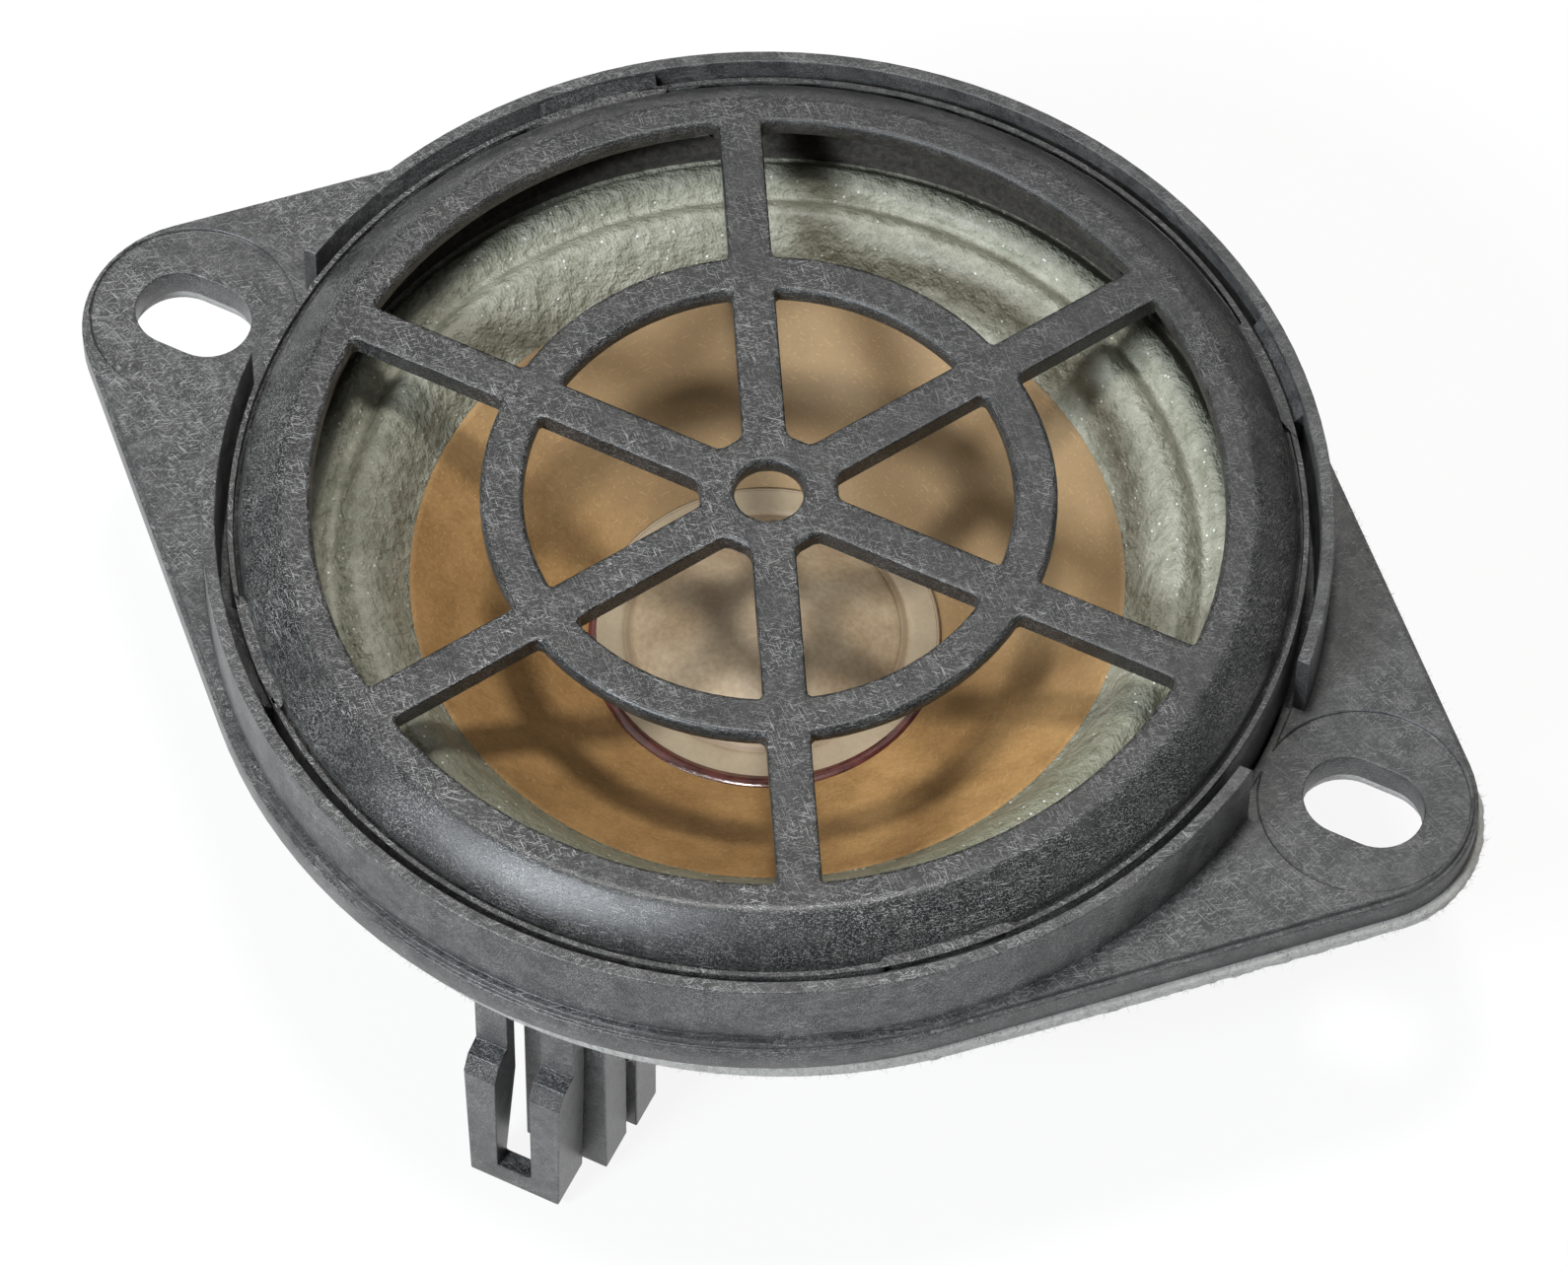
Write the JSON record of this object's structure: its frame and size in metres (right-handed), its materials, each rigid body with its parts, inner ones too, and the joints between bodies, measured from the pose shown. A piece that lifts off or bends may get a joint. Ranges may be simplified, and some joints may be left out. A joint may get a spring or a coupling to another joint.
{
  "type": "car tweeter",
  "caption": "Round car loudspeaker with a spoked protective grille, paper cone, cloth surround, two-ear screw flange, felt gasket, rear snap clip and plug socket.",
  "frame": {"origin": "middle of the two screw slots, on the rear face of the mounting flange", "axes": "+X through both ears, +Z out of the front of the loudspeaker, snap clip on the -Y side"},
  "size_m": [0.1074, 0.081, 0.0358],
  "materials": {
    "basket": "black glass-fibre filled nylon, satin, with short pale fibre streaks",
    "grille": "black glass-fibre filled nylon, satin, with short pale fibre streaks",
    "felt": "light grey needled felt with a fuzzy cut edge",
    "surround": "grey-green woven cloth with a tacky clear coating that glints",
    "board": "pressed grey-brown board",
    "cone_paper": "kraft-brown pressed paper with visible fibres",
    "cap": "tan pressed cap with a glossy clear coat",
    "adhesive": "dark red-brown glossy rubber cement",
    "former": "thin rolled aluminium",
    "copper": "enamelled copper wire, close wound",
    "band": "brown paper tape",
    "spider": "resin-dipped tan cotton weave",
    "steel": "zinc-plated mild steel",
    "magnet": "nickel-plated sintered magnet",
    "terminal": "tin-plated brass",
    "tinsel": "braided copper tinsel",
    "solder": "bright tin solder"
  },
  "bodies": {
    "frame": {"basket": "basket", "grille": "grille", "mounting_gasket": "felt", "surround": "surround", "clamp_ring": "board", "spider": "spider", "spider_ring": "board", "pole_plate": "steel", "magnet": "magnet", "yoke_cup": "steel", "terminal_positive": "terminal", "terminal_negative": "terminal", "lead_positive": "tinsel", "lead_negative": "tinsel", "lug_solder": "solder"},
    "voice_coil": {"cone": "cone_paper", "dust_cap": "cap", "cap_adhesive": "adhesive", "coil_former": "former", "coil_winding": "copper", "coil_band": "band", "coil_solder": "solder"}
  },
  "joints": [
    {"name": "cone_travel", "type": "slide", "parent": "frame", "child": "voice_coil", "axis": [0, 0, 1], "range_m": [-0.0015, 0.0015], "stiffness_N_per_m": 1200, "deforming": ["surround", "spider", "lead_positive", "lead_negative"]}
  ]
}
